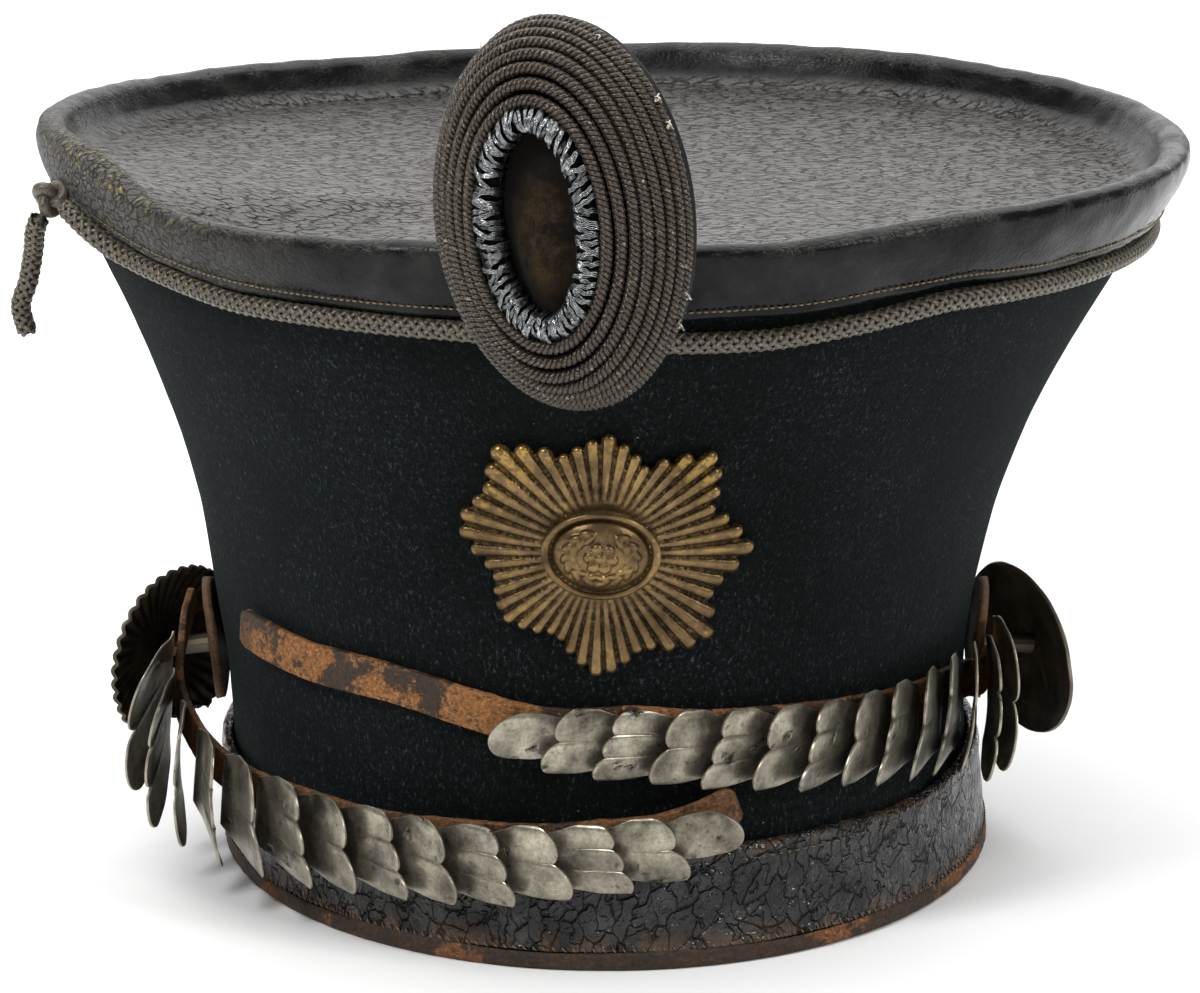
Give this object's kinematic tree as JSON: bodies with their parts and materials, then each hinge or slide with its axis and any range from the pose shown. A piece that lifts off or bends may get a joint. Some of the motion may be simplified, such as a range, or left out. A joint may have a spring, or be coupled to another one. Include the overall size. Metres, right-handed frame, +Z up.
{
  "type": "shako hat",
  "caption": "Tall flared cloth shako with a dished leather crown, corded oval cockade, rayed badge and two loose halves of a scaled chin strap.",
  "frame": {"origin": "bottom centre of the whole hat's bounding box, measured without the hanging cord end", "axes": "+Z up, the front of the hat with its badge and cockade faces -Y, +X is the side of the longer strap half"},
  "size_m": [0.2563, 0.2904, 0.2079],
  "materials": {
    "cloth": "worn black wool cloth, slightly green",
    "crown_leather": "black glossy leather with fine cracks",
    "band_leather": "black crackled glossy leather",
    "binding_leather": "worn brown leather",
    "cord": "dark braided cord with gold thread",
    "velvet": "dark brown velvet",
    "bullion": "tarnished silver wire thread",
    "brass": "stamped brass with dark patina",
    "scale_metal": "grey tarnished brass",
    "strap_leather": "brown leather, dark and cracked",
    "post_metal": "dull steel"
  },
  "bodies": {
    "root": {"body_cloth": "cloth", "head_band": "band_leather", "edge_binding": "binding_leather", "crown_leather": "crown_leather", "crown_cord": "cord", "cord_knot": "cord", "cord_end": "cord", "cockade_back": "velvet", "cockade_coil": "cord", "cockade_bullion": "bullion", "cockade_velvet": "velvet", "cockade_stem": "post_metal", "badge_star": "brass", "badge_boss": "brass", "strap_left": "strap_leather", "boss_left": "scale_metal", "boss_pad_left": "strap_leather", "boss_post_left": "post_metal", "scale_left_01": "scale_metal", "scale_left_02": "scale_metal", "scale_left_03": "scale_metal", "scale_left_04": "scale_metal", "scale_left_05": "scale_metal", "scale_left_06": "scale_metal", "scale_left_07": "scale_metal", "scale_left_08": "scale_metal", "scale_left_09": "scale_metal", "scale_left_10": "scale_metal", "scale_left_11": "scale_metal", "scale_left_12": "scale_metal", "scale_left_13": "scale_metal", "scale_left_14": "scale_metal", "strap_right": "strap_leather", "boss_right": "scale_metal", "boss_pad_right": "strap_leather", "boss_post_right": "post_metal", "scale_right_01": "scale_metal", "scale_right_02": "scale_metal", "scale_right_03": "scale_metal", "scale_right_04": "scale_metal", "scale_right_05": "scale_metal", "scale_right_06": "scale_metal", "scale_right_07": "scale_metal", "scale_right_08": "scale_metal", "scale_right_09": "scale_metal", "scale_right_10": "scale_metal", "scale_right_11": "scale_metal", "scale_right_12": "scale_metal", "scale_right_13": "scale_metal", "scale_right_14": "scale_metal"}
  },
  "joints": []
}
